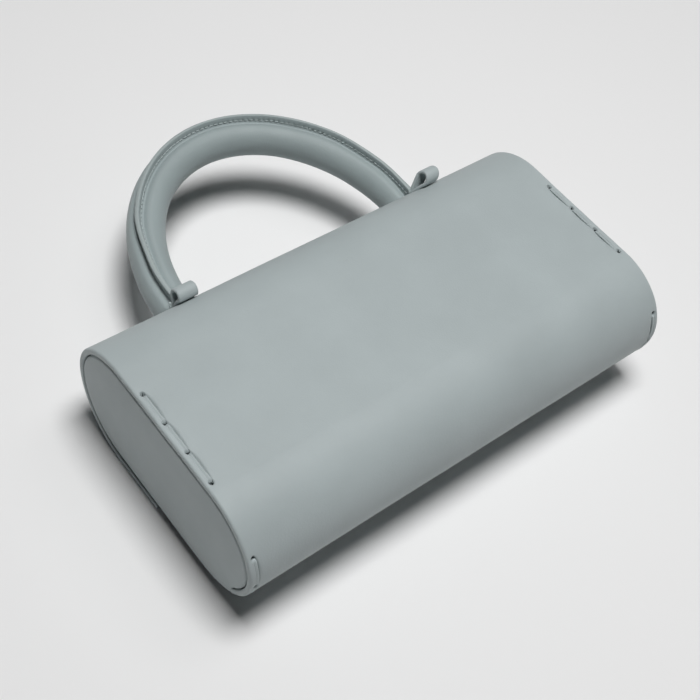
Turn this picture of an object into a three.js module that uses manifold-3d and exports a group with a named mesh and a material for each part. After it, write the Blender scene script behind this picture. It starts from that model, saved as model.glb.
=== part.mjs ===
// Small top-handle handbag in thick smooth leather, lying on the face of its flap.
// Millimetres. +X runs along the bag, +Y up its height to the handle, +Z out of its back.
// The origin is the middle of the flat underside of the flap, where the bag rests.
import * as THREE from 'three';
import { mergeVertices } from 'three/addons/utils/BufferGeometryUtils.js';
import Module from 'manifold-3d';

// Body sizes
const LENGTH = 240;
const HEIGHT = 129;
const DEPTH = 59.5;              // from the back's face to the front wall's face
const WALL = 3;                  // thickness of the shell leather
const CORNER_RUN = 31.5;         // how far each rounded edge runs up or down the height
const FLAP_CORNER_RUN = 34.4;    // the same for the flap's turn over the top
const FLAP_GAP = 1.65;           // air between the flap and the front wall
const FLAP_DROP = 63.5;          // from the top of the bag to the flap's edge
const FRONT_LIP = 2.5;           // the front wall's top edge lies this far below the bend of its corner
const RIM_END_ANGLE = 224;       // where the shell's visible edge ends under the bottom, degrees
const CLEARANCE = 0.3;           // gap between pieces that touch

// End panels
const PANEL_WALL = 3;
const FLANGE_WALL = 2;
const FLANGE_DEPTH = 8;

// Handle
const HANDLE_SPREAD = 136;       // between the centres of the two feet
const HANDLE_RISE = 82;          // from the feet to the centre of the arch's top
const HANDLE_RADIUS = 9.3;
const HANDLE_LEAN = 3.7;         // lean of the arch towards the back, degrees
const HANDLE_FOOT_DROP = 1;      // the feet sit this far to the front of the middle of the depth
const WELT_HEIGHT = 2.3;         // how far the welt stands out of the tube
const WELT_THICKNESS = 2.2;

// Strap loops
const LOOP_WIDTH = 10;
const LOOP_STRIP = 1.6;
const LOOP_RADIUS = 4.6;
const LOOP_LENGTH = 12.5;
const LOOP_TILT = 9;             // lean from upright towards the bottom of the bag, degrees
const LOOP_OFFSET = 2;           // from the centre of the handle's foot outwards to the loop's middle
const LOOP_FROM_WELT = 4.3;      // from the welt's edge to the middle of the loop's slot, along Z
const LOOP_TAIL = 3;             // how far the sewn ends reach in past the wall

// Laces
const LACE_WIDTH = 2.2;
const LACE_THICKNESS = 1;
const LACE_PEG = 1.4;            // thickness of the lace where it goes through a hole
const LACE_INSET = 3;            // from the end of the bag to the middle of the lace
const LACE_PITCH = 16.3;
const LACE_BACK_HOLES = 4;
const LACE_BACK_CENTRE = -5;     // middle of the back's row of holes, from mid height
const LACE_BOTTOM_FIRST = 150;   // first hole round the bottom edge, degrees
const LACE_BOTTOM_STEP = 33;
const LACE_BOTTOM_HOLES = 3;

// Fineness of the facets
const CORNER_STEPS = 12;
const LOOP_STEPS = 14;
const STRAND_STEPS = 6;
const HANDLE_STEPS = 48;
const HANDLE_SIDES = 16;

const HALF_LENGTH = LENGTH / 2;
const HALF_HEIGHT = HEIGHT / 2;
const HALF_DEPTH = DEPTH / 2;
const FLAP_REACH = HALF_DEPTH + FLAP_GAP + WALL;
const FLAP_EDGE = HALF_HEIGHT - FLAP_DROP;
const FLAP_BEND = HALF_HEIGHT - FLAP_CORNER_RUN;
const EDGE_CENTRE = HALF_HEIGHT - CORNER_RUN;
const WELT_REACH = HANDLE_RADIUS + WELT_HEIGHT;
const LOOP_CENTRE = HANDLE_SPREAD / 2 + LOOP_OFFSET;
const LOOP_LEVEL = WELT_REACH - HANDLE_FOOT_DROP + LOOP_FROM_WELT;

// The welt's direction along the handle: share of the way from foot to foot, degrees outwards from +Z
const WELT_TURNS = [
  { share: 0.00, degrees: 6 },
  { share: 0.10, degrees: 14 },
  { share: 0.22, degrees: 25 },
  { share: 0.50, degrees: 29 },
  { share: 0.78, degrees: 25 },
  { share: 0.90, degrees: 14 },
  { share: 1.00, degrees: 6 },
];

const wasm = await Module();
wasm.setup();

function radians(degrees) {
  return degrees * Math.PI / 180;
}

// Solids for adding and cutting
function toSolid(geometry) {
  const bare = geometry.clone();
  bare.deleteAttribute('normal');
  bare.deleteAttribute('uv');
  const merged = mergeVertices(bare, 1e-4);
  return new wasm.Manifold(new wasm.Mesh({
    numProp: 3,
    vertProperties: new Float32Array(merged.attributes.position.array),
    triVerts: new Uint32Array(merged.index.array),
  }));
}

function toGeometry(solid) {
  const mesh = solid.getMesh();
  const geometry = new THREE.BufferGeometry();
  geometry.setAttribute('position', new THREE.BufferAttribute(new Float32Array(mesh.vertProperties), 3));
  geometry.setIndex(new THREE.BufferAttribute(new Uint32Array(mesh.triVerts), 1));
  geometry.computeVertexNormals();
  return geometry;
}

// A prism along X over an outline given as [y, z] points
function prism(outline, start, end, hole = null) {
  const shape = new THREE.Shape(outline.map(([y, z]) => new THREE.Vector2(y, z)));
  if (hole) {
    shape.holes.push(new THREE.Path(hole.map(([y, z]) => new THREE.Vector2(y, z))));
  }
  const geometry = new THREE.ExtrudeGeometry(shape, { depth: end - start, bevelEnabled: false });
  const turn = new THREE.Matrix4().makeBasis(
    new THREE.Vector3(0, 1, 0),
    new THREE.Vector3(0, 0, 1),
    new THREE.Vector3(1, 0, 0),
  );
  geometry.applyMatrix4(turn);
  geometry.translate(start, 0, 0);
  return toSolid(geometry);
}

// The section of the bag: points on its outer face with their outward normals,
// with angles counted from the top of the bag over the back to the bottom
function pointAt(centre, run, reach, degrees) {
  const angle = radians(degrees);
  const y = centre + run * Math.cos(angle);
  const z = reach * Math.sin(angle);
  const normal = new THREE.Vector2(Math.cos(angle) / run, Math.sin(angle) / reach).normalize();
  return { y, z, ny: normal.x, nz: normal.y };
}

function edgePoint(degrees) {
  const centre = Math.cos(radians(degrees)) > 0 ? EDGE_CENTRE : -EDGE_CENTRE;
  return pointAt(centre, CORNER_RUN, HALF_DEPTH, degrees);
}

function arc(from, to, point, steps = CORNER_STEPS) {
  const points = [];
  for (let i = 0; i <= steps; i += 1) {
    points.push(point(from + (to - from) * i / steps));
  }
  return points;
}

function flapPoint(degrees) {
  return pointAt(FLAP_BEND, FLAP_CORNER_RUN, FLAP_REACH, degrees);
}

function bottomPoint(degrees) {
  return pointAt(-EDGE_CENTRE, CORNER_RUN, HALF_DEPTH, degrees);
}

function flat(y, side, reach) {
  return { y, z: side * reach, ny: 0, nz: side };
}

function shifted(points, offset) {
  return points.map((p) => [p.y + p.ny * offset, p.z + p.nz * offset]);
}

// A closed outline between two offsets of an open run of points
function band(points, outer, inner) {
  return [...shifted(points, outer), ...shifted(points, inner).reverse()];
}

const frontWallTop = flat(EDGE_CENTRE - FRONT_LIP, -1, HALF_DEPTH);
const topRun = [...arc(270, 360, flapPoint), ...arc(0, 90, edgePoint).slice(1)];

// From the flap's edge over the top, down the back, round the bottom and up the front wall
const shellRun = [
  flat(FLAP_EDGE, -1, FLAP_REACH),
  ...topRun,
  ...arc(90, 270, bottomPoint, 2 * CORNER_STEPS),
  frontWallTop,
];

// A rectangle in the section, across the wall at one place, between two offsets from the face
function acrossWall(place, thickness, outer, inner) {
  const half = thickness / 2;
  const corner = (along, out) => [
    place.y + place.ny * out - place.nz * along,
    place.z + place.nz * out + place.ny * along,
  ];
  return [corner(-half, inner), corner(half, inner), corner(half, outer), corner(-half, outer)];
}

const loopPlace = edgePoint(Math.asin(LOOP_LEVEL / HALF_DEPTH) * 180 / Math.PI);
const backHoles = Array.from({ length: LACE_BACK_HOLES }, (_, i) => (
  flat(LACE_BACK_CENTRE + LACE_PITCH * ((LACE_BACK_HOLES - 1) / 2 - i), 1, HALF_DEPTH)
));
const bottomHoles = Array.from({ length: LACE_BOTTOM_HOLES }, (_, i) => (
  bottomPoint(LACE_BOTTOM_FIRST + LACE_BOTTOM_STEP * i)
));

// The lace's pegs end inside the flange of the end panel
const PEG_DEPTH = WALL + CLEARANCE + FLANGE_WALL;

function laceCutters(side) {
  const middle = side * (HALF_LENGTH - LACE_INSET);
  const half = LACE_WIDTH / 2 + CLEARANCE;
  const thickness = LACE_PEG + 2 * CLEARANCE;
  return [...backHoles, ...bottomHoles].map((place) => (
    prism(acrossWall(place, thickness, 1, -PEG_DEPTH - 1), middle - half, middle + half)
  ));
}

function shell() {
  let solid = prism(band(shellRun, 0, -WALL), -HALF_LENGTH, HALF_LENGTH);
  const frontRun = [...arc(RIM_END_ANGLE, 270, bottomPoint), flat(frontWallTop.y + 1, -1, HALF_DEPTH)];
  const between = band(frontRun, FLAP_GAP / 3, -WALL - 1);
  for (const side of [-1, 1]) {
    const panelFace = side * (HALF_LENGTH - PANEL_WALL - CLEARANCE);
    const beyond = side * (HALF_LENGTH + 1);
    solid = solid.subtract(prism(between, Math.min(panelFace, beyond), Math.max(panelFace, beyond)));
    const slotMiddle = side * LOOP_CENTRE;
    const slotHalf = LOOP_WIDTH / 2 + CLEARANCE;
    const slot = acrossWall(loopPlace, 2 * (LOOP_STRIP + CLEARANCE), 1, -WALL - 1);
    solid = solid.subtract(prism(slot, slotMiddle - slotHalf, slotMiddle + slotHalf));
    for (const cutter of laceCutters(side)) {
      solid = solid.subtract(cutter);
    }
  }
  return toGeometry(solid);
}

// The end panel is a plate with a flange turned in, inside the shell.
// In front it comes out past the front wall's end to the front's own face.
function endPanel(side) {
  const inset = WALL + CLEARANCE;
  const topY = HALF_HEIGHT - inset;
  const underFlap = (degrees) => pointAt(FLAP_BEND, topY - FLAP_BEND, HALF_DEPTH, degrees);
  const wrapped = [...arc(0, 90, edgePoint), ...arc(90, RIM_END_ANGLE, bottomPoint, 2 * CORNER_STEPS)];
  const open = [...arc(RIM_END_ANGLE, 270, bottomPoint), ...arc(270, 360, underFlap).slice(0, -1)];
  const plateOutline = [...shifted(wrapped, -inset), ...shifted(open, 0)];
  const closedRun = [...arc(0, 90, edgePoint), ...arc(90, 270, bottomPoint, 2 * CORNER_STEPS),
    ...arc(270, 360, edgePoint).slice(0, -1)];
  const flangeOutline = shifted(closedRun, -inset);
  const flangeHollow = shifted(closedRun, -inset - FLANGE_WALL);

  const faceX = side * HALF_LENGTH;
  const backX = side * (HALF_LENGTH - PANEL_WALL);
  const innerX = side * (HALF_LENGTH - FLANGE_DEPTH);
  const seam = side * (HALF_LENGTH - PANEL_WALL / 2);
  let solid = prism(plateOutline, Math.min(faceX, backX), Math.max(faceX, backX));
  solid = solid.add(prism(flangeOutline, Math.min(seam, innerX), Math.max(seam, innerX), flangeHollow));
  for (const cutter of laceCutters(side)) {
    solid = solid.subtract(cutter);
  }
  return toGeometry(solid);
}

// The handle's centre line: a half ellipse over the top of the bag, leaning to the back,
// with straight ends that go on down until the shell cuts them off
function handleCentre(share) {
  const angle = Math.PI * share;
  const rise = HANDLE_RISE * Math.sin(angle);
  const lean = radians(HANDLE_LEAN);
  return new THREE.Vector3(
    -HANDLE_SPREAD / 2 * Math.cos(angle),
    HALF_HEIGHT + rise * Math.cos(lean),
    -HANDLE_FOOT_DROP + rise * Math.sin(lean),
  );
}

function weltAngle(share) {
  const last = WELT_TURNS.findIndex((row) => row.share >= share);
  const high = WELT_TURNS[Math.max(last, 1)];
  const low = WELT_TURNS[Math.max(last, 1) - 1];
  const part = (share - low.share) / (high.share - low.share);
  return radians(low.degrees + (high.degrees - low.degrees) * part);
}

// One ring of the handle: a round tube with the welt as a fin on it
function handleRing(centre, outward, upward, turn) {
  const finHalf = Math.asin(WELT_THICKNESS / 2 / HANDLE_RADIUS);
  const rootReach = HANDLE_RADIUS * Math.cos(finHalf);
  const corners = [
    [WELT_REACH, -WELT_THICKNESS / 2],
    [WELT_REACH, WELT_THICKNESS / 2],
    [rootReach, WELT_THICKNESS / 2],
  ];
  for (let i = 1; i < HANDLE_SIDES; i += 1) {
    const angle = finHalf + (2 * Math.PI - 2 * finHalf) * i / HANDLE_SIDES;
    corners.push([HANDLE_RADIUS * Math.cos(angle), HANDLE_RADIUS * Math.sin(angle)]);
  }
  corners.push([rootReach, -WELT_THICKNESS / 2]);
  const fin = upward.clone().multiplyScalar(Math.cos(turn)).addScaledVector(outward, Math.sin(turn));
  const side = outward.clone().multiplyScalar(Math.cos(turn)).addScaledVector(upward, -Math.sin(turn));
  return corners.map(([reach, across]) => (
    centre.clone().addScaledVector(fin, reach).addScaledVector(side, across)
  ));
}

function handle() {
  const rings = [];
  const lean = radians(HANDLE_LEAN);
  const upward = new THREE.Vector3(0, -Math.sin(lean), Math.cos(lean));
  const sink = new THREE.Vector3(0, -(CORNER_RUN / 2), 0);
  for (let i = 0; i <= HANDLE_STEPS; i += 1) {
    const share = i / HANDLE_STEPS;
    const centre = handleCentre(share);
    const along = handleCentre(Math.min(share + 0.001, 1)).sub(handleCentre(Math.max(share - 0.001, 0)));
    const outward = upward.clone().cross(along).normalize();
    const ring = handleRing(centre, outward, upward, weltAngle(share));
    if (i === 0) {
      rings.push(ring.map((point) => point.clone().add(sink)));
    }
    rings.push(ring);
    if (i === HANDLE_STEPS) {
      rings.push(ring.map((point) => point.clone().add(sink)));
    }
  }
  const bagTop = prism(shifted(topRun, CLEARANCE), -HALF_LENGTH, HALF_LENGTH);
  return toGeometry(loft(rings).subtract(bagTop));
}

// A closed solid through equal rings, with flat ends
function loft(rings) {
  const count = rings[0].length;
  const positions = rings.flat().flatMap((point) => point.toArray());
  const cap = THREE.ShapeUtils.triangulateShape(flattened(rings[0]), []);
  const index = [];
  for (let ring = 0; ring + 1 < rings.length; ring += 1) {
    for (let i = 0; i < count; i += 1) {
      const a = ring * count + i;
      const b = ring * count + (i + 1) % count;
      index.push(a, b + count, b, a, a + count, b + count);
    }
  }
  const top = (rings.length - 1) * count;
  for (const [a, b, c] of cap) {
    index.push(a, b, c);
    index.push(top + a, top + c, top + b);
  }
  const geometry = new THREE.BufferGeometry();
  geometry.setAttribute('position', new THREE.Float32BufferAttribute(positions, 3));
  geometry.setIndex(index);
  return toSolid(geometry);
}

// A ring seen flat, for its end cap: its own points in its own plane
function flattened(ring) {
  const origin = ring[0];
  const first = ring[1].clone().sub(origin).normalize();
  const other = ring[Math.floor(ring.length / 2)].clone().sub(origin);
  const second = other.clone().addScaledVector(first, -other.dot(first)).normalize();
  return ring.map((point) => {
    const from = point.clone().sub(origin);
    return new THREE.Vector2(from.dot(first), from.dot(second));
  });
}

// A teardrop: straight sides from a narrow foot to a round end, as [across, up] points
function teardrop(foot, base, radius, top) {
  const middle = top - radius - base;
  const leg = Math.hypot(foot, middle);
  const start = Math.atan2(foot, middle) - Math.asin(radius / leg);
  const points = [];
  for (let i = 0; i <= LOOP_STEPS; i += 1) {
    const angle = start + (Math.PI - 2 * start) * i / LOOP_STEPS;
    points.push([radius * Math.cos(angle), base + middle + radius * Math.sin(angle)]);
  }
  const feet = foot > 0 ? [[-foot, base], [foot, base]] : [[0, base]];
  return [...points, ...feet];
}

// The loop is a strip folded on itself, its two ends sewn together behind the slot
function strapLoop(side) {
  const lean = radians(LOOP_TILT);
  const standOff = LOOP_STRIP + CLEARANCE;
  const [[footY, footZ]] = shifted([loopPlace], standOff);
  const placed = ([across, up]) => [
    footY + across * Math.cos(lean) - up * Math.sin(lean),
    footZ + across * Math.sin(lean) + up * Math.cos(lean),
  ];
  const middle = side * LOOP_CENTRE;
  const from = middle - LOOP_WIDTH / 2;
  const to = middle + LOOP_WIDTH / 2;
  const outside = teardrop(LOOP_STRIP, 0, LOOP_RADIUS, LOOP_LENGTH).map(placed);
  const hollowTop = LOOP_LENGTH - LOOP_STRIP;
  const hollow = teardrop(0, LOOP_STRIP, LOOP_RADIUS - LOOP_STRIP, hollowTop).map(placed);
  const tail = acrossWall(loopPlace, 2 * LOOP_STRIP, standOff, -WALL - LOOP_TAIL);
  return toGeometry(prism(outside, from, to, hollow).add(prism(tail, from, to)));
}

// One run of lace: a peg through each hole, joined on the outside by strands that swell between holes
function laceRun(holes, faceBetween, side) {
  const from = side * (HALF_LENGTH - LACE_INSET) - LACE_WIDTH / 2;
  const to = from + LACE_WIDTH;
  const swell = (share) => CLEARANCE + LACE_THICKNESS * (0.4 + 0.6 * Math.sin(Math.PI * share));
  const pegTop = swell(0);
  let solid = null;
  holes.forEach((hole, i) => {
    const peg = prism(acrossWall(hole, LACE_PEG, pegTop, -PEG_DEPTH), from, to);
    solid = solid ? solid.add(peg) : peg;
    if (i + 1 < holes.length) {
      const run = faceBetween(i);
      const top = run.flatMap((p, step) => shifted([p], swell(step / (run.length - 1))));
      const under = shifted(run, CLEARANCE).reverse();
      solid = solid.add(prism([...top, ...under], from, to));
    }
  });
  return toGeometry(solid);
}

function backStrand(i) {
  return arc(backHoles[i].y, backHoles[i + 1].y, (y) => flat(y, 1, HALF_DEPTH), STRAND_STEPS);
}

function bottomStrand(i) {
  const start = LACE_BOTTOM_FIRST + LACE_BOTTOM_STEP * i;
  return arc(start, start + LACE_BOTTOM_STEP, bottomPoint, STRAND_STEPS);
}

// Leather, and the same leather a little darker where it is cut or folded thin
const leather = new THREE.MeshStandardMaterial({ color: 0xacb5b6, roughness: 0.62, metalness: 0 });
const laceLeather = new THREE.MeshStandardMaterial({ color: 0x9fa9a9, roughness: 0.65, metalness: 0 });

function piece(name, geometry, material) {
  const mesh = new THREE.Mesh(geometry, material.clone());
  mesh.name = name;
  return mesh;
}

const body = new THREE.Group();
body.add(piece('shell', shell(), leather));
body.add(piece('handle', handle(), leather));
for (const [name, side] of [['left', -1], ['right', 1]]) {
  body.add(piece(`end_panel_${name}`, endPanel(side), leather));
  body.add(piece(`strap_loop_${name}`, strapLoop(side), leather));
  body.add(piece(`back_lace_${name}`, laceRun(backHoles, backStrand, side), laceLeather));
  body.add(piece(`bottom_lace_${name}`, laceRun(bottomHoles, bottomStrand, side), laceLeather));
}

// The bag lies on the flat of its flap, between the flap's edge and its bend
body.position.set(0, -(FLAP_EDGE + FLAP_BEND) / 2, FLAP_REACH);

const group = new THREE.Group();
group.add(body);

export default group;
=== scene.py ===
"""Dresses the handbag's solids: leather shell, end panels, handle, loops and laces, and sets the studio."""
import math
from bisect import bisect_left

import bmesh
import bpy
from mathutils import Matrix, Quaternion, Vector, noise


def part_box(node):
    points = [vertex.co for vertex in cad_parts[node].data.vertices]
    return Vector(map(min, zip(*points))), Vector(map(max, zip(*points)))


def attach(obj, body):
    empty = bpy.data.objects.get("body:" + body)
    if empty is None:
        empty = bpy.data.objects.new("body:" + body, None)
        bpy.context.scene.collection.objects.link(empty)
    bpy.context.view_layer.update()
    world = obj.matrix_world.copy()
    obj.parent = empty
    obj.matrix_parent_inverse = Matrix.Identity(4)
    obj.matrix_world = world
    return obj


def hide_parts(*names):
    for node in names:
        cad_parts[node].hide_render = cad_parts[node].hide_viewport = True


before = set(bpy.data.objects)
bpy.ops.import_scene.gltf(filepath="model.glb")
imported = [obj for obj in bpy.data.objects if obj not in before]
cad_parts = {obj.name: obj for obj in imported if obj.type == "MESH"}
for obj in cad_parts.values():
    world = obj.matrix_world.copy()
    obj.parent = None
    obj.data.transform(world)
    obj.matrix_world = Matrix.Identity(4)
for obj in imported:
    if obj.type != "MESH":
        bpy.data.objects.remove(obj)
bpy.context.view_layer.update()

MM = 0.001

# Sizes of the bag, in millimetres, taken from the frame
shell_low, shell_high = (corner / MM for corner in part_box("shell"))
loop_low, loop_high = (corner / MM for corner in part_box("strap_loop_right"))
LENGTH = shell_high.x - shell_low.x
HEIGHT = shell_high.y - shell_low.y
MID_Y = (shell_high.y + shell_low.y) / 2
HALF_LENGTH = LENGTH / 2
HALF_HEIGHT = HEIGHT / 2

# Sizes of the leather, as the solids have them
DEPTH = 59.5
WALL = 3.0
CORNER_RUN = 31.5
FLAP_CORNER_RUN = 34.4
FLAP_DROP = 63.5
FRONT_LIP = 2.5
RIM_END_ANGLE = 224
PANEL_WALL = 3.0
PANEL_GROOVE = 0.45
FLANGE_WALL = 2.0
FLANGE_DEPTH = 8.0
HALF_DEPTH = DEPTH / 2
MID_Z = shell_high.z - HALF_DEPTH
FLAP_REACH = MID_Z - shell_low.z
EDGE_CENTRE = HALF_HEIGHT - CORNER_RUN
FLAP_BEND = HALF_HEIGHT - FLAP_CORNER_RUN
FLAP_EDGE = HALF_HEIGHT - FLAP_DROP

# Handle
HANDLE_SPREAD = 136
HANDLE_RISE = 82
HANDLE_RADIUS = 9.3
HANDLE_LEAN = math.radians(3.7)
HANDLE_FOOT_DROP = 1.0
WELT_REACH = 12.05
WELT_HALF = 1.1
STITCH_PITCH = 2.5
STITCH_REACH = 9.2

# Strap loops: each has settled in its own way. "near" is the x of the edge towards -X, "tilt" the lean
# over the back in degrees, and "slip" how far the top has moved towards the bag's end
LOOP_WIDTH = loop_high.x - loop_low.x
LOOP_MIDDLE = (loop_high.x + loop_low.x) / 2
LOOP_STRIP = 1.7
LOOP_STAND = 1.2
LOOP_ANGLE = 30.0
LOOPS = {
    "left": dict(side=-1, near=-74.8, width=10.2, length=9.3, radius=3.9, tilt=8, slip=-1.0),
    "right": dict(side=1, near=64.4, width=8.2, length=11.6, radius=4.0, tilt=12, slip=5.9),
}

# Laces
LACE_INSET = 3.0
LACE_PITCH = 16.3
LACE_BACK_CENTRE = -5.0
LACE_BACK_HOLES = 4
LACE_BOTTOM_ANGLES = (150, 183, 216)
STRAND_WIDTH = 2.1
STRAND_THICKNESS = 1.4
STRAND_START_GAP = 0.8
STRAND_END_GAP = 0.8
STRAND_DIP = 2.4
STRAND_STEPS = 36


def to_frame(x, y, z):
    """A point counted from the middle of the bag, in millimetres, as a point of the frame in metres."""
    return Vector((x, y + MID_Y, z + MID_Z)) * MM


def make_mesh(name, points, faces, materials, face_materials=None, weld=False):
    """A smooth mesh piece that rides on the bag."""
    mesh = bpy.data.meshes.new(name)
    mesh.from_pydata([tuple(p) for p in points], [], faces)
    if weld:
        work = bmesh.new()
        work.from_mesh(mesh)
        bmesh.ops.remove_doubles(work, verts=work.verts, dist=1e-6)
        work.to_mesh(mesh)
        work.free()
    for material in materials:
        mesh.materials.append(material)
    if face_materials:
        mesh.polygons.foreach_set("material_index", face_materials)
    mesh.shade_smooth()
    mesh.update()
    piece = bpy.data.objects.new(name, mesh)
    bpy.context.scene.collection.objects.link(piece)
    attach(piece, "root")
    return piece


def smooth_step(low, high, value):
    share = min(max((value - low) / (high - low), 0.0), 1.0)
    return share * share * (3 - 2 * share)


def soft_noise(x, y, z, size, seed):
    """Smooth noise between about -1 and 1, with lumps of the given size in millimetres."""
    return noise.noise(Vector((x / size + seed, y / size - seed, z / size + 2 * seed)))


# The section of the bag, as points with outward normals


def corner_point(centre, run, reach, degrees):
    angle = math.radians(degrees)
    normal = Vector((math.cos(angle) / run, math.sin(angle) / reach)).normalized()
    return (centre + run * math.cos(angle), reach * math.sin(angle), normal.x, normal.y)


def back_corner(degrees):
    return corner_point(EDGE_CENTRE, CORNER_RUN, HALF_DEPTH, degrees)


def bottom_corner(degrees):
    return corner_point(-EDGE_CENTRE, CORNER_RUN, HALF_DEPTH, degrees)


def flap_corner(degrees):
    return corner_point(FLAP_BEND, FLAP_CORNER_RUN, FLAP_REACH, degrees)


def under_flap_corner(degrees):
    """The end panel's own top corner in front, which keeps clear of the flap."""
    run = HALF_HEIGHT - WALL - PANEL_GROOVE - FLAP_BEND
    return corner_point(FLAP_BEND, run, HALF_DEPTH, degrees)


def straight(start, end, z, steps):
    side = 1 if z > 0 else -1
    return [(start + (end - start) * i / steps, z, 0.0, float(side)) for i in range(steps + 1)]


def turned(point, start, end, steps):
    return [point(start + (end - start) * i / steps) for i in range(steps + 1)]


class Run:
    """An open run of section points that can be read at any distance along it."""

    def __init__(self, points):
        self.points = points
        self.at = [0.0]
        for a, b in zip(points, points[1:]):
            self.at.append(self.at[-1] + math.hypot(b[0] - a[0], b[1] - a[1]))
        self.length = self.at[-1]

    def read(self, distance):
        index = min(max(bisect_left(self.at, distance), 1), len(self.at) - 1)
        start, end = self.at[index - 1], self.at[index]
        share = 0.0 if end == start else (distance - start) / (end - start)
        a, b = self.points[index - 1], self.points[index]
        mixed = [p + (q - p) * share for p, q in zip(a, b)]
        size = math.hypot(mixed[2], mixed[3])
        return (mixed[0], mixed[1], mixed[2] / size, mixed[3] / size)

    def find(self, y, z):
        """The distance along the run of the point nearest to one place."""
        gaps = [math.hypot(p[0] - y, p[1] - z) for p in self.points]
        return self.at[gaps.index(min(gaps))]


FINE = 160
flap_part = straight(FLAP_EDGE, FLAP_BEND, -FLAP_REACH, 60) + turned(flap_corner, 270, 360, FINE)[1:]
back_part = turned(back_corner, 0, 90, FINE)[1:]
back_part += straight(EDGE_CENTRE, -EDGE_CENTRE, HALF_DEPTH, 130)[1:]
bottom_part = turned(bottom_corner, 90, 270, 2 * FINE)[1:]
front_part = straight(-EDGE_CENTRE, EDGE_CENTRE - FRONT_LIP, -HALF_DEPTH, 60)[1:]
SHELL_RUN = Run(flap_part + back_part + bottom_part + front_part)

BACK_HOLES = [
    (LACE_BACK_CENTRE + LACE_PITCH * ((LACE_BACK_HOLES - 1) / 2 - i), HALF_DEPTH)
    for i in range(LACE_BACK_HOLES)
]
BOTTOM_HOLES = [bottom_corner(degrees)[:2] for degrees in LACE_BOTTOM_ANGLES]
BACK_STOPS = [SHELL_RUN.find(*hole) for hole in BACK_HOLES]
BOTTOM_STOPS = [SHELL_RUN.find(*hole) for hole in BOTTOM_HOLES]
LOOP_STOP = SHELL_RUN.find(*back_corner(LOOP_ANGLE)[:2])
RIM_STOP = SHELL_RUN.find(*bottom_corner(RIM_END_ANGLE)[:2])


def stations(start, end, step, fine_places, fine_reach, fine_step):
    """Distances from start to end: a coarse step, and a fine one near the places that need it."""
    found = [start]
    while found[-1] < end:
        near = min((abs(found[-1] - place) for place in fine_places), default=1e9)
        stride = fine_step + (step - fine_step) * smooth_step(fine_reach, fine_reach + 2 * step, near)
        found.append(min(found[-1] + stride, end))
    return found


def rounded(distance, radius):
    """How far a face has drawn back at this distance from a border rounded to the radius."""
    if distance >= radius:
        return 0.0
    return radius - math.sqrt(max(radius * radius - (radius - distance) ** 2, 0.0))


# Shell: one thick sheet of leather rolled round the bag

OUTER_ROUND = 1.15
INNER_ROUND = 0.8
HOLE_DEPTH = 2.9
HOLE_SQUEEZE = 0.75
PAINTED_HOLE_SHADE_REACH = 0.85
SLOT_DEPTH = 2.6
PRESS_DEPTH = 1.35
END_STEPS = [
    0.0, 0.08, 0.2, 0.38, 0.6, 0.85, 1.15,
    1.5, 1.8, 2.1, 2.4, 2.7, 3.0, 3.3, 3.6, 3.9, 4.2, 4.6, 5.2,
]


def hole_dent(along, across):
    """Depth of a lace hole's dent, and of the soft dimple round it."""
    away = math.hypot(HOLE_SQUEEZE * along, across)
    return HOLE_DEPTH * (1 - smooth_step(0.75, 1.05, away)) + 0.2 * math.exp(-((away / 2.4) ** 2))


def slot_dent(along, across):
    """Depth of the slot that a strap loop goes into."""
    over_length = abs(across) - LOOP_WIDTH / 2
    over_width = abs(along) - LOOP_STRIP
    outside = max(over_length, over_width)
    return SLOT_DEPTH * (1 - smooth_step(-0.1, 0.6, outside))


def lace_press(across, distance, stops):
    """Between two holes the lace presses a leaf-shaped trench along its side away from the rim."""
    for start, end in zip(stops, stops[1:]):
        if start < distance < end:
            bulge = math.sin(math.pi * ((distance - start) / (end - start)) ** 0.7) ** 0.7
            near_wall = smooth_step(-0.6, 0.7, across)
            far_wall = smooth_step(0.8, 0.95 + 1.15 * bulge, across)
            return PRESS_DEPTH * bulge * (near_wall - far_wall)
    return 0.0


def shell_swell(x, distance, y, z):
    """How far the outer face stands off the plain section."""
    swell = 0.22 * soft_noise(x, y, z, 62, 3.1) + 0.06 * soft_noise(x, y, z, 21, 7.7)
    from_end = HALF_LENGTH - abs(x)
    across = from_end - LACE_INSET
    if abs(across) < 6:
        for stop in BACK_STOPS + BOTTOM_STOPS:
            if abs(distance - stop) < 6:
                swell -= hole_dent(distance - stop, across)
        swell -= lace_press(across, distance, BACK_STOPS) + lace_press(across, distance, BOTTOM_STOPS)
    if abs(distance - LOOP_STOP) < 5:
        swell -= slot_dent(distance - LOOP_STOP, abs(x) - LOOP_MIDDLE)
    return swell


def in_lace_hole(distance, across):
    """Whether a place of the shell is deep in a lace hole, where no light comes, and so gets the painted
    shade.
    """
    holes = BACK_STOPS + BOTTOM_STOPS
    return any(math.hypot(HOLE_SQUEEZE * (distance - hole), across) < PAINTED_HOLE_SHADE_REACH for hole in holes)


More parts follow.
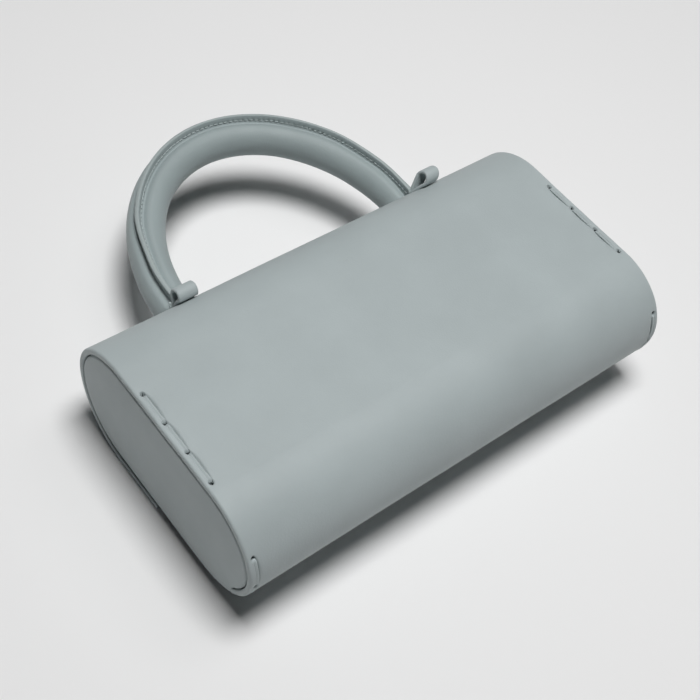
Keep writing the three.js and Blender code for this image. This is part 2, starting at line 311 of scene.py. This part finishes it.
def build_shell(leather, edge_paint, painted_hole_shade):
    fine = BACK_STOPS + BOTTOM_STOPS + [LOOP_STOP, RIM_STOP]
    along = stations(0.0, SHELL_RUN.length, 2.2, fine, 3.0, 0.32)
    border = [d for d in END_STEPS if d < 2.0]
    along = sorted({round(d, 3) for d in along + border + [SHELL_RUN.length - d for d in border]})
    loop_edges = [side * (LOOP_MIDDLE + half * LOOP_WIDTH / 2) for side in (-1, 1) for half in (-1, 1)]
    middle = stations(-HALF_LENGTH + 6.5, HALF_LENGTH - 6.5, 4.0, loop_edges, 1.4, 0.35)
    across = [-HALF_LENGTH + d for d in END_STEPS] + middle
    across += [HALF_LENGTH - d for d in reversed(END_STEPS)]
    outer, inner = [], []
    for distance in along:
        y, z, ny, nz = SHELL_RUN.read(distance)
        past_rim = smooth_step(RIM_STOP + 2.0, RIM_STOP + 4.5, distance)
        pull = past_rim * (PANEL_WALL + PANEL_GROOVE)
        run_end = min(distance, SHELL_RUN.length - distance)
        for x in across:
            from_end = HALF_LENGTH - abs(x)
            shift = pull * (1 - smooth_step(6, 14, from_end))
            wave = 0.16 * soft_noise(x, y, z, 30, 11.0) * (1 - smooth_step(0, 8, from_end))
            placed_x = x - math.copysign(shift + wave, x)
            border_gap = min(from_end, run_end)
            top = shell_swell(x, distance, y, z) - rounded(border_gap, OUTER_ROUND)
            under = -WALL + rounded(border_gap, INNER_ROUND)
            place = to_frame(placed_x, y + ny * top, z + nz * top)
            place.z = max(place.z, 0.0)
            outer.append(place)
            inner.append(to_frame(placed_x, y + ny * under, z + nz * under))
    points, faces, kinds = sheet_faces(outer, inner, len(along), len(across))
    columns = len(across) - 1
    # Faces deep in a lace hole get material 2, a near-black colour: painted shade for the dark inside of
    # the hole
    for r in range(len(along) - 1):
        for c in range(columns):
            from_end = HALF_LENGTH - abs(across[c] + across[c + 1]) / 2
            if from_end < 6 and in_lace_hole((along[r] + along[r + 1]) / 2, from_end - LACE_INSET):
                kinds[2 * (r * columns + c)] = 2
    piece = make_mesh("shell_leather", points, faces, [leather, edge_paint, painted_hole_shade], kinds)
    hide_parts("shell")
    return piece


def sheet_faces(outer, inner, rows, columns):
    """Points and faces of a closed sheet between two equal grids; its four borders get material 1."""
    points = outer + inner
    below = len(outer)
    faces, kinds = [], []

    def add(face, kind):
        faces.append(face)
        kinds.append(kind)

    for r in range(rows - 1):
        for c in range(columns - 1):
            a = r * columns + c
            b, e, d = a + 1, a + columns + 1, a + columns
            add((a, d, e, b), 0)
            add((below + a, below + b, below + e, below + d), 0)
    last = (rows - 1) * columns
    for c in range(columns - 1):
        add((c, c + 1, below + c + 1, below + c), 1)
        add((last + c, below + last + c, below + last + c + 1, last + c + 1), 1)
    for r in range(rows - 1):
        a, d = r * columns, (r + 1) * columns
        add((a, below + a, below + d, d), 1)
        a, d = a + columns - 1, d + columns - 1
        add((a, d, below + d, below + a), 1)
    return points, faces, kinds


# End panels: a soft plate in each end, with a flange turned in behind it

PANEL_ROUND = 1.3
PANEL_DOME = 0.9
PANEL_STEPS = 14
PANEL_RINGS = [0.0, 0.1, 0.3, 0.6, 1.0, 1.5, 2.2, 3.0]


def panel_outline():
    """The plate's edge: points with outward normals, and the place on the middle line each one faces."""
    inset = WALL + PANEL_GROOVE
    wrapped = turned(back_corner, 0, 90, 40)[:-1]
    targets = [EDGE_CENTRE] * len(wrapped)
    back = straight(EDGE_CENTRE, -EDGE_CENTRE, HALF_DEPTH, 40)
    outline = [(y - ny * inset, z - nz * inset, ny, nz) for y, z, ny, nz in wrapped + back]
    for i in range(1, 120):
        degrees = 90 + 180 * i / 120
        y, z, ny, nz = bottom_corner(degrees)
        under_rim = inset * (1 - smooth_step(RIM_END_ANGLE - 5, RIM_END_ANGLE + 7, degrees))
        outline.append((y - ny * under_rim, z - nz * under_rim, ny, nz))
    targets += [p[0] for p in back]
    targets += [-EDGE_CENTRE] * (len(outline) - len(targets))
    outline += straight(-EDGE_CENTRE, FLAP_BEND, -HALF_DEPTH, 40)
    targets += [p[0] for p in reversed(back)]
    outline += turned(under_flap_corner, 270, 360, 40)[1:-1]
    targets += [EDGE_CENTRE] * (len(outline) - len(targets))
    return outline, targets


def panel_level(y, z, inward, side):
    """Height of the plate's outer face, slack in the middle and rounded at its edge."""
    rise = PANEL_DOME * smooth_step(-1, 14, inward) - rounded(inward, PANEL_ROUND)
    sway = 0.12 * soft_noise(side * 40, y, z, 26, 5.0)
    slack = 0.4 * soft_noise(side * 90, y, z, 48, 1.7) * smooth_step(3, 16, inward)
    return rise + sway + slack


def build_end_panel(name, side, leather):
    outline, targets = panel_outline()
    count = len(outline)
    face_x = HALF_LENGTH - 0.1
    rings = [[(y, z, face_x - back) for y, z, _, _ in outline] for back in (PANEL_WALL, PANEL_ROUND)]
    for inward in PANEL_RINGS:
        ring = [(y - ny * inward, z - nz * inward) for y, z, ny, nz in outline]
        rings.append([(y, z, face_x + panel_level(y, z, inward, side)) for y, z in ring])
    deepest = rings[-1]
    for step in range(1, PANEL_STEPS + 1):
        share = step / PANEL_STEPS
        ring = []
        for (start_y, start_z, _), target in zip(deepest, targets):
            y = start_y + (target - start_y) * share
            z = start_z * (1 - share)
            inward = PANEL_RINGS[-1] + math.hypot(y - start_y, z - start_z)
            ring.append((y, z, face_x + panel_level(y, z, inward, side)))
        rings.append(ring)
    points = [to_frame(side * x, y, z) for ring in rings for y, z, x in ring]
    faces = []
    for r in range(len(rings) - 1):
        for i in range(count):
            a, b = r * count + i, r * count + (i + 1) % count
            faces.append((a, b, b + count, a + count))
    faces.append(tuple(range(count - 1, -1, -1)))
    if side < 0:
        faces = [tuple(reversed(face)) for face in faces]
    flange_points, flange_faces = panel_flange(side)
    faces += [tuple(index + len(points) for index in face) for face in flange_faces]
    piece = make_mesh(f"{name}_leather", points + flange_points, faces, [leather], weld=True)
    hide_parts(name)
    return piece


def panel_flange(side):
    """The turned-in edge behind the plate, which the laces go through."""
    inset = WALL + PANEL_GROOVE
    closed = turned(back_corner, 0, 90, 24) + turned(bottom_corner, 90, 270, 48)
    closed += turned(back_corner, 270, 360, 24)[:-1]
    start, end = HALF_LENGTH - PANEL_WALL + 0.2, HALF_LENGTH - FLANGE_DEPTH
    rings = []
    inner = inset + FLANGE_WALL
    for x, offset in ((start, inset), (end, inset), (end, inner), (start, inner)):
        rings.append([to_frame(side * x, y - ny * offset, z - nz * offset) for y, z, ny, nz in closed])
    count = len(closed)
    faces = []
    for r in range(4):
        for i in range(count):
            a, b = r * count + i, r * count + (i + 1) % count
            c, d = (r + 1) % 4 * count + (i + 1) % count, (r + 1) % 4 * count + i
            faces.append((a, d, c, b) if side > 0 else (a, b, c, d))
    return [point for ring in rings for point in ring], faces


# Handle: a padded tube whose skin is stitched into a welt

WELT_TURNS = [(0.0, 6), (0.1, 14), (0.22, 25), (0.5, 29), (0.78, 25), (0.9, 14), (1.0, 6)]
WELT_SIDE = [
    (WELT_REACH, 0.0),
    (WELT_REACH - 0.05, 0.5 * WELT_HALF),
    (WELT_REACH - 0.2, 0.82 * WELT_HALF),
    (WELT_REACH - 0.45, 0.97 * WELT_HALF),
    (WELT_REACH - 0.8, WELT_HALF),
    (STITCH_REACH + 0.7, WELT_HALF),
    (STITCH_REACH + 0.35, 0.97 * WELT_HALF),
    (STITCH_REACH, 0.9 * WELT_HALF),
    (STITCH_REACH - 0.35, 0.97 * WELT_HALF),
    (STITCH_REACH - 0.7, 1.0 * WELT_HALF),
    (STITCH_REACH - 1.1, 1.04 * WELT_HALF),
    (STITCH_REACH - 1.5, 1.2 * WELT_HALF),
    (STITCH_REACH - 1.68, 1.55 * WELT_HALF),
    (STITCH_REACH - 1.52, 2.1 * WELT_HALF),
    (STITCH_REACH - 1.36, 2.65 * WELT_HALF),
    (STITCH_REACH - 1.27, 3.2 * WELT_HALF),
    (STITCH_REACH - 1.3, 3.8 * WELT_HALF),
    (STITCH_REACH - 1.44, 4.4 * WELT_HALF),
]
TUBE_START = 35
HANDLE_STEPS = 640


def handle_centre(share):
    angle = math.pi * share
    rise = HANDLE_RISE * math.sin(angle)
    return Vector(
        (
            -HANDLE_SPREAD / 2 * math.cos(angle),
            HALF_HEIGHT + rise * math.cos(HANDLE_LEAN),
            -HANDLE_FOOT_DROP + rise * math.sin(HANDLE_LEAN),
        )
    )


def handle_axes(share):
    """The handle's direction, its outward direction and its upward one, at a share of its way."""
    upward = Vector((0, -math.sin(HANDLE_LEAN), math.cos(HANDLE_LEAN)))
    along = (handle_centre(min(share + 0.001, 1)) - handle_centre(max(share - 0.001, 0))).normalized()
    outward = upward.cross(along).normalized()
    return along, outward, upward


def welt_angle(share):
    for (low, start), (high, end) in zip(WELT_TURNS, WELT_TURNS[1:]):
        if share <= high:
            part = smooth_step(0, 1, (share - low) / (high - low))
            return math.radians(start + (end - start) * part)
    return math.radians(WELT_TURNS[-1][1])


def handle_section():
    """Half of the tube's section from the welt's tip, then its mirror image."""
    half = list(WELT_SIDE)
    steps = 26
    for i in range(steps + 1):
        angle = math.radians(TUBE_START + (180 - TUBE_START) * i / steps)
        half.append((HANDLE_RADIUS * math.cos(angle), HANDLE_RADIUS * math.sin(angle)))
    mirror = [(reach, -across) for reach, across in reversed(half[1:-1])]
    return half + mirror


def handle_point(share, reach, across):
    """A point of the handle's section, by reach along the welt's direction and distance across it."""
    _, outward, upward = handle_axes(share)
    turn = welt_angle(share)
    fin = upward * math.cos(turn) + outward * math.sin(turn)
    side = outward * math.cos(turn) - upward * math.sin(turn)
    return handle_centre(share) + fin * reach + side * across


def foot_level(z):
    """Height of the bag's outer face over the middle of its depth, near the top."""
    upper = (HALF_DEPTH, CORNER_RUN, EDGE_CENTRE)
    lower = (FLAP_REACH, FLAP_CORNER_RUN, FLAP_BEND)
    reach, run, centre = upper if z > 0 else lower
    return centre + run * math.sqrt(max(1 - (z / reach) ** 2, 0))


def handle_shares():
    """Shares that stand at even distances along the handle."""
    fine = [handle_centre(i / 2000) for i in range(2001)]
    walked = [0.0]
    for a, b in zip(fine, fine[1:]):
        walked.append(walked[-1] + (b - a).length)
    return lambda distance: min(max(bisect_left(walked, distance), 0), 2000) / 2000, walked[-1]


share_at, HANDLE_LENGTH = handle_shares()
STITCHES = [STITCH_PITCH * (i + 1) for i in range(int(HANDLE_LENGTH / STITCH_PITCH) - 1)]


def build_handle(leather, edge_paint):
    section = handle_section()
    count = len(section)
    points, rings = [], []
    for i in range(HANDLE_STEPS + 1):
        distance = HANDLE_LENGTH * i / HANDLE_STEPS
        share = share_at(distance)
        nearest = min(abs(distance - stitch) for stitch in STITCHES)
        pinch = math.exp(-((nearest / 0.45) ** 2))
        ring = []
        for reach, across in section:
            reach, across = handle_relief(distance, reach, across, pinch)
            ring.append(handle_point(share, reach, across))
        if i == 0:
            rings.append([Vector((p.x, foot_level(p.z) - 1.2, p.z)) for p in ring])
        rings.append(ring)
        if i == HANDLE_STEPS:
            rings.append([Vector((p.x, foot_level(p.z) - 1.2, p.z)) for p in ring])
    points = [to_frame(*point) for ring in rings for point in ring]
    faces, kinds = [], []
    for r in range(len(rings) - 1):
        for c in range(count):
            a, b = r * count + c, r * count + (c + 1) % count
            faces.append((a, a + count, b + count, b))
            kinds.append(1 if c < 2 or c >= count - 2 else 0)
    last = (len(rings) - 1) * count
    faces.append(tuple(range(count)))
    faces.append(tuple(range(last + count - 1, last - 1, -1)))
    kinds += [0, 0]
    piece = make_mesh("handle_leather", points, faces, [leather, edge_paint], kinds)
    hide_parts("handle")
    return piece


def handle_relief(distance, reach, across, pinch):
    """Soft unevenness of the padded skin, thread holes in the welt, and the tuck at the welt's ends."""
    away = math.hypot(reach, across)
    tuck = math.exp(-((min(distance, HANDLE_LENGTH - distance) / 7) ** 2))
    if reach > STITCH_REACH - 0.9:
        near_thread = math.exp(-(((reach - STITCH_REACH) / 0.4) ** 2))
        wave = 0.1 * soft_noise(distance, 0, 0, 14, 4.4)
        pull = (0.5 * pinch * near_thread) * min(abs(across) / WELT_HALF, 1)
        return reach + wave * smooth_step(10, 12, reach), across - math.copysign(pull, across)
    around = math.atan2(across, reach)
    swell = 0.14 * soft_noise(distance, 9 * math.cos(around), 9 * math.sin(around), 17, 2.3)
    near_welt = math.exp(-(((abs(around) - math.radians(14)) / math.radians(8)) ** 2))
    swell -= (0.1 * pinch + 0.8 * tuck) * near_welt
    inside = max(-math.cos(around + math.radians(55)), 0) ** 2
    swell -= 0.1 * inside * max(soft_noise(distance * 3.2, 0, around * 6, 9, 8.0), 0)
    scale = 1 + swell / away
    return reach * scale, across * scale


# One stitch, as shares of the pitch with how deep the thread has sunk
STITCH_ARC = [(-0.42, 0.45), (-0.34, 0.1), (-0.15, 0.0), (0.15, 0.0), (0.34, 0.1), (0.42, 0.45)]


def build_stitches(thread):
    """Short thread stitches along both sides of the welt, all in one mesh."""
    points, faces = [], []
    for side in (-1, 1):
        for distance in STITCHES:
            middle = distance + STITCH_PITCH / 2
            path = []
            for part, sink in STITCH_ARC:
                share = share_at(middle + part * STITCH_PITCH)
                lift = side * (0.9 * WELT_HALF + 0.12 - sink)
                path.append(handle_point(share, STITCH_REACH + 0.12 * part, lift))
            add_cord(points, faces, path, 0.27, 8)
    return make_mesh("welt_stitches", [to_frame(*p) for p in points], faces, [thread])


def add_cord(points, faces, path, radius, sides):
    """Adds a round cord along a short path to the lists of points and faces."""
    first = len(points)
    for i, place in enumerate(path):
        along = (path[min(i + 1, len(path) - 1)] - path[max(i - 1, 0)]).normalized()
        across = along.orthogonal().normalized()
        other = along.cross(across)
        for k in range(sides):
            angle = 2 * math.pi * k / sides
            points.append(place + (across * math.cos(angle) + other * math.sin(angle)) * radius)
    for i in range(len(path) - 1):
        for k in range(sides):
            a, b = first + i * sides + k, first + i * sides + (k + 1) % sides
            faces.append((a, b, b + sides, a + sides))
    faces.append(tuple(range(first + sides - 1, first - 1, -1)))
    last = first + (len(path) - 1) * sides
    faces.append(tuple(range(last, last + sides)))


# Strips: the loops and the laces are flat strips swept along a path


def strip(path, normals, width_axis, width, thickness, slope=0.0):
    """Points and faces of a flat strip with rounded edges along a path, tipped by the slope."""
    corner_steps = 4
    radius = min(thickness * 0.48, width / 2)
    section = []
    for sign_w, sign_t, start in ((1, 1, 0), (-1, 1, 90), (-1, -1, 180), (1, -1, 270)):
        for k in range(corner_steps + 1):
            angle = math.radians(start + 90 * k / corner_steps)
            w = sign_w * (width / 2 - radius) + radius * math.cos(angle)
            t = sign_t * (thickness / 2 - radius) + radius * math.sin(angle)
            section.append((w, t))
    points = []
    for i, place in enumerate(path):
        for w, t in section:
            points.append(place + width_axis * w + normals[i] * (t + slope * w))
    count = len(section)
    faces = []
    for i in range(len(path) - 1):
        for k in range(count):
            a, b = i * count + k, i * count + (k + 1) % count
            faces.append((a, b, b + count, a + count))
    faces.append(tuple(range(count - 1, -1, -1)))
    last = (len(path) - 1) * count
    faces.append(tuple(range(last, last + count)))
    return points, faces


def path_normals(path, width_axis):
    normals = []
    for i in range(len(path)):
        along = (path[min(i + 1, len(path) - 1)] - path[max(i - 1, 0)]).normalized()
        normals.append(width_axis.cross(along).normalized())
    return normals


def rest_on_shell(point, gap):
    """Moves a point of the loop out until it is at least the gap off the bag's top edge."""
    across, up = (point.y - EDGE_CENTRE) / CORNER_RUN, point.z / HALF_DEPTH
    size = math.hypot(across, up)
    face = back_corner(math.degrees(math.atan2(up, across)))
    normal = Vector((0, face[2], face[3]))
    off = (point - Vector((point.x, face[0], face[1]))).dot(normal)
    return point + normal * (gap - off) if size > 0 and off < gap else point


def loop_path(length, radius, tilt):
    """Middle line of the folded strip: out of the slot, round the teardrop and back in."""
    y, z, ny, nz = back_corner(LOOP_ANGLE)
    normal = Vector((0, ny, nz))
    foot = Vector((0, y, z)) + normal * LOOP_STAND
    up = Vector((0, -math.sin(tilt), math.cos(tilt)))
    over = Vector((0, math.cos(tilt), math.sin(tilt)))
    tangent = Vector((0, nz, -ny))
    half = LOOP_STRIP / 2
    ring = radius - half
    middle = length - radius
    start = math.atan2(half, middle) - math.asin(ring / math.hypot(half, middle))
    arc_points = []
    for i in range(29):
        angle = start + (math.pi - 2 * start) * i / 28
        place = foot + over * ring * math.cos(angle) + up * (middle + ring * math.sin(angle))
        arc_points.append(rest_on_shell(place, half + 0.7))
    down_in = [foot + tangent * half - normal * depth for depth in (3.6, 2.4, 1.0)]
    out = [foot - tangent * half - normal * depth for depth in (1.0, 2.4, 3.6)]
    return smooth_path(down_in + arc_points + out, 4)


def smooth_path(rough, steps):
    """A smooth path through rough points."""
    found = []
    for i in range(len(rough) - 1):
        before, after = rough[max(i - 1, 0)], rough[min(i + 2, len(rough) - 1)]
        for k in range(steps):
            t = k / steps
            a, b = rough[i], rough[i + 1]
            m0, m1 = (b - before) / 2, (after - a) / 2
            t2, t3 = t * t, t * t * t
            ends = a * (2 * t3 - 3 * t2 + 1) + b * (3 * t2 - 2 * t3)
            found.append(ends + m0 * (t3 - 2 * t2 + t) + m1 * (t3 - t2))
    return found + [rough[-1]]


def build_loop(name, loop, leather):
    """One strap loop, whose top has slipped sideways by the loop's slip, in millimetres."""
    side, length = loop["side"], loop["length"]
    middle = loop["near"] + loop["width"] / 2
    middle_line = loop_path(length, loop["radius"], math.radians(loop["tilt"]))
    path = [point + Vector((middle, 0, 0)) for point in middle_line]
    width_axis = Vector((1, 0, 0))
    normals = path_normals(path, width_axis)
    base = back_corner(LOOP_ANGLE)[1]
    slips = [side * loop["slip"] * max(point.z - base, 0) / length for point in path]
    path = [point + Vector((slip, 0, 0)) for point, slip in zip(path, slips)]
    points, faces = strip(path, normals, width_axis, loop["width"], LOOP_STRIP)
    piece = make_mesh(f"{name}_leather", [to_frame(*p) for p in points], faces, [leather])
    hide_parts(name)
    return piece


def build_lace(name, side, stops, rise, slope, leather):
    """One run of lace that dips into each hole and swells between the holes."""
    width_axis = Vector((1, 0, 0))
    middle = side * (HALF_LENGTH - LACE_INSET)
    points, faces = [], []
    for start, end in zip(stops, stops[1:]):
        path = []
        span = end - start - STRAND_START_GAP - STRAND_END_GAP
        for i in range(STRAND_STEPS + 1):
            along = span * i / STRAND_STEPS
            nearest = min(along, span - along)
            climb = smooth_step(-0.2, 0.8, nearest)
            level = STRAND_DIP * (climb - 1) + (rise - STRAND_THICKNESS / 2) * climb
            y, z, ny, nz = SHELL_RUN.read(start + STRAND_START_GAP + along)
            path.append(Vector((middle, y + ny * level, z + nz * level)))
        normals = path_normals(path, width_axis)
        strand = strip(path, normals, width_axis, STRAND_WIDTH, STRAND_THICKNESS, side * slope)
        faces += [tuple(index + len(points) for index in face) for face in strand[1]]
        points += strand[0]
    piece = make_mesh(f"{name}_strands", [to_frame(*p) for p in points], faces, [leather])
    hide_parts(name)
    return piece


def build_tacks(thread):
    """A short bar of thread at the foot of each loop, where the welt's seam is closed."""
    points, faces = [], []
    for loop in LOOPS.values():
        near = loop["side"] * LOOP_MIDDLE - LOOP_WIDTH / 2
        y, z, ny, nz = back_corner(LOOP_ANGLE)
        foot = Vector((near - 0.7, y + ny * 0.1, z + nz * 0.1))
        top = foot + Vector((-0.2, 1.4, 2.2))
        for shift in (-0.35, 0.35):
            path = [foot + Vector((shift, 0, 0)) + (top - foot) * k / 5 for k in range(6)]
            add_cord(points, faces, path, 0.4, 8)
    return make_mesh("welt_tacks", [to_frame(*p) for p in points], faces, [thread])


# Materials


def node_material(name, colour, roughness):
    material = bpy.data.materials.new(name)
    material.use_nodes = True
    shader = material.node_tree.nodes["Principled BSDF"]
    shader.inputs["Base Color"].default_value = (*colour, 1)
    shader.inputs["Roughness"].default_value = roughness
    return material, material.node_tree.nodes, material.node_tree.links, shader


def leather_material(name, colour, grain_depth=0.00006, seed=0.0):
    """Smooth matt leather: slight clouding of colour, fine pebble grain and a faint sheen."""
    material, nodes, links, shader = node_material(name, colour, 0.56)
    shader.inputs["Specular IOR Level"].default_value = 0.38
    shader.inputs["Sheen Weight"].default_value = 0.08
    shader.inputs["Sheen Roughness"].default_value = 0.5
    place = nodes.new("ShaderNodeTexCoord")
    move = nodes.new("ShaderNodeMapping")
    move.inputs["Location"].default_value = (seed, seed * 0.7, -seed)
    links.new(place.outputs["Object"], move.inputs["Vector"])

    cloud = nodes.new("ShaderNodeTexNoise")
    cloud.inputs["Scale"].default_value = 26
    cloud.inputs["Detail"].default_value = 4
    links.new(move.outputs["Vector"], cloud.inputs["Vector"])
    tint = nodes.new("ShaderNodeValToRGB")
    tint.color_ramp.elements[0].position = 0.3
    tint.color_ramp.elements[1].position = 0.7
    tint.color_ramp.elements[0].color = (*[c * 0.955 for c in colour], 1)
    tint.color_ramp.elements[1].color = (*[min(c * 1.04, 1) for c in colour], 1)
    links.new(cloud.outputs["Fac"], tint.inputs["Fac"])
    links.new(tint.outputs["Color"], shader.inputs["Base Color"])

    pebble = nodes.new("ShaderNodeTexVoronoi")
    pebble.inputs["Scale"].default_value = 1250
    links.new(move.outputs["Vector"], pebble.inputs["Vector"])
    pore = nodes.new("ShaderNodeTexNoise")
    pore.inputs["Scale"].default_value = 2600
    pore.inputs["Detail"].default_value = 3
    links.new(move.outputs["Vector"], pore.inputs["Vector"])
    slack = nodes.new("ShaderNodeTexNoise")
    slack.inputs["Scale"].default_value = 120
    slack.inputs["Detail"].default_value = 2
    links.new(move.outputs["Vector"], slack.inputs["Vector"])

    grain = nodes.new("ShaderNodeBump")
    grain.inputs["Strength"].default_value = 0.55
    grain.inputs["Distance"].default_value = grain_depth
    links.new(pebble.outputs["Distance"], grain.inputs["Height"])
    pores = nodes.new("ShaderNodeBump")
    pores.inputs["Strength"].default_value = 0.35
    pores.inputs["Distance"].default_value = grain_depth
    links.new(pore.outputs["Fac"], pores.inputs["Height"])
    links.new(grain.outputs["Normal"], pores.inputs["Normal"])
    soft = nodes.new("ShaderNodeBump")
    soft.inputs["Strength"].default_value = 0.3
    soft.inputs["Distance"].default_value = 0.0004
    links.new(slack.outputs["Fac"], soft.inputs["Height"])
    links.new(pores.outputs["Normal"], soft.inputs["Normal"])
    links.new(soft.outputs["Normal"], shader.inputs["Normal"])

    gloss = nodes.new("ShaderNodeMapRange")
    gloss.inputs["To Min"].default_value = 0.5
    gloss.inputs["To Max"].default_value = 0.62
    links.new(slack.outputs["Fac"], gloss.inputs["Value"])
    links.new(gloss.outputs["Result"], shader.inputs["Roughness"])
    return material


def edge_material(name, colour):
    """Painted cut edge: smoother than the leather, with small ripples from the brush."""
    material, nodes, links, shader = node_material(name, colour, 0.45)
    place = nodes.new("ShaderNodeTexCoord")
    ripple = nodes.new("ShaderNodeTexNoise")
    ripple.inputs["Scale"].default_value = 420
    ripple.inputs["Detail"].default_value = 2
    links.new(place.outputs["Object"], ripple.inputs["Vector"])
    bump = nodes.new("ShaderNodeBump")
    bump.inputs["Strength"].default_value = 0.4
    bump.inputs["Distance"].default_value = 0.0002
    links.new(ripple.outputs["Fac"], bump.inputs["Height"])
    links.new(bump.outputs["Normal"], shader.inputs["Normal"])
    return material


def thread_material(name, colour):
    """Waxed thread: fine ridges of the twist across each stitch."""
    material, nodes, links, shader = node_material(name, colour, 0.5)
    place = nodes.new("ShaderNodeTexCoord")
    twist = nodes.new("ShaderNodeTexWave")
    twist.inputs["Scale"].default_value = 900
    twist.inputs["Distortion"].default_value = 1.5
    links.new(place.outputs["Object"], twist.inputs["Vector"])
    bump = nodes.new("ShaderNodeBump")
    bump.inputs["Strength"].default_value = 0.5
    bump.inputs["Distance"].default_value = 0.0001
    links.new(twist.outputs["Fac"], bump.inputs["Height"])
    links.new(bump.outputs["Normal"], shader.inputs["Normal"])
    return material


# Floor, light and camera

CAMERA_AZIMUTH = math.radians(-49.6)
CAMERA_ELEVATION = math.radians(51.9)
CAMERA_ROLL = math.radians(14.35)
CAMERA_DISTANCE = 0.5705
CAMERA_TARGET = (-11.4, 8.6, -2.5)
CAMERA_LENS = 63.76
LIGHTS_AIM = (0, 0, 0.03)


def build_camera():
    data = bpy.data.cameras.new("camera")
    data.lens = CAMERA_LENS
    data.sensor_width = 36
    data.clip_start = 0.01
    data.clip_end = 20
    camera = bpy.data.objects.new("camera", data)
    back = Vector(
        (
            math.sin(CAMERA_AZIMUTH) * math.cos(CAMERA_ELEVATION),
            -math.cos(CAMERA_AZIMUTH) * math.cos(CAMERA_ELEVATION),
            math.sin(CAMERA_ELEVATION),
        )
    )
    camera.location = to_frame(*CAMERA_TARGET) + back * CAMERA_DISTANCE
    facing = back.to_track_quat("Z", "Y") @ Quaternion((0, 0, 1), CAMERA_ROLL)
    camera.rotation_euler = facing.to_euler()
    bpy.context.scene.collection.objects.link(camera)
    bpy.context.scene.camera = camera


def smooth_range(nodes, start, end, first, last):
    """A node that goes smoothly from the first value to the last one between start and end."""
    node = nodes.new("ShaderNodeMapRange")
    node.interpolation_type = "SMOOTHSTEP"
    node.inputs["From Min"].default_value = start
    node.inputs["From Max"].default_value = end
    node.inputs["To Min"].default_value = first
    node.inputs["To Max"].default_value = last
    return node


def build_floor():
    """A large white floor, which glows far from the bag so that it stays white out to the horizon."""
    mesh = bpy.data.meshes.new("floor")
    half = 4.0
    corners = [(-half, -half, 0), (half, -half, 0), (half, half, 0), (-half, half, 0)]
    mesh.from_pydata(corners, [], [(0, 1, 2, 3)])
    material, nodes, links, shader = node_material("floor_white", (0.84, 0.84, 0.84), 0.9)
    shader.inputs["Specular IOR Level"].default_value = 0.1
    shader.inputs["Emission Color"].default_value = (1, 1, 1, 1)
    place = nodes.new("ShaderNodeTexCoord")
    away = nodes.new("ShaderNodeVectorMath")
    away.operation = "LENGTH"
    links.new(place.outputs["Object"], away.inputs[0])
    glow = smooth_range(nodes, 0.3, 1.8, 0.0, 0.75)
    links.new(away.outputs["Value"], glow.inputs["Value"])
    links.new(glow.outputs["Result"], shader.inputs["Emission Strength"])
    mesh.materials.append(material)
    floor = bpy.data.objects.new("floor", mesh)
    bpy.context.scene.collection.objects.link(floor)


def area_light(name, place, target, size, power):
    data = bpy.data.lights.new(name, "AREA")
    data.shape = "DISK"
    data.size = size
    data.energy = power
    light = bpy.data.objects.new(name, data)
    light.location = place
    light.rotation_euler = (Vector(place) - Vector(target)).to_track_quat("Z", "Y").to_euler()
    bpy.context.scene.collection.objects.link(light)


def build_light():
    world = bpy.data.worlds.new("studio")
    world.use_nodes = True
    world.node_tree.nodes["Background"].inputs["Color"].default_value = (1.0, 1.0, 1.0, 1)
    nodes, links = world.node_tree.nodes, world.node_tree.links
    place = nodes.new("ShaderNodeTexCoord")
    split = nodes.new("ShaderNodeSeparateXYZ")
    links.new(place.outputs["Generated"], split.inputs["Vector"])
    fade = smooth_range(nodes, 0.03, 0.2, 0.5, 0.01)
    links.new(split.outputs["Z"], fade.inputs["Value"])
    links.new(fade.outputs["Result"], nodes["Background"].inputs["Strength"])
    bpy.context.scene.world = world
    area_light("overhead", (0.05, -0.02, 1.45), LIGHTS_AIM, 0.6, 18.4)
    area_light("side", (0.45, 0.0, 1.1), LIGHTS_AIM, 0.5, 1.2)
    bpy.context.scene.view_settings.view_transform = "Standard"


def main():
    hide = (0.375, 0.424, 0.430)
    # The handle's leather: a touch greener than the shell's, which is its own tone, and darker, which is
    # painted shade for the lesser light that reaches the handle
    handle_hide_and_shade = (0.305, 0.357, 0.361)
    shell_leather = leather_material("shell_leather", hide, seed=0.0)
    panel_leather = leather_material("panel_leather", hide, seed=0.31)
    handle_leather = leather_material("handle_leather", handle_hide_and_shade, seed=0.57)
    loop_leather = leather_material("loop_leather", hide, seed=0.83)
    lace_leather = leather_material("lace_leather", hide, grain_depth=0.00004, seed=1.1)
    edge_paint = edge_material("edge_paint", (0.35, 0.40, 0.40))
    # Painted shade for the insides of the lace holes: near-black, fully rough and without specular
    painted_hole_shade, _, _, shader = node_material("painted_hole_shade", (0.012, 0.014, 0.014), 1.0)
    shader.inputs["Specular IOR Level"].default_value = 0.0
    thread = thread_material("thread", (0.42, 0.48, 0.48))

    build_shell(shell_leather, edge_paint, painted_hole_shade)
    build_handle(handle_leather, edge_paint)
    build_stitches(thread)
    build_tacks(thread)
    for name, loop in LOOPS.items():
        side = loop["side"]
        build_end_panel(f"end_panel_{name}", side, panel_leather)
        build_loop(f"strap_loop_{name}", loop, loop_leather)
        build_lace(f"back_lace_{name}", side, BACK_STOPS, -0.3, 0.42, lace_leather)
        build_lace(f"bottom_lace_{name}", side, BOTTOM_STOPS, -0.05, 0.42, lace_leather)
    build_floor()
    build_light()
    build_camera()


main()
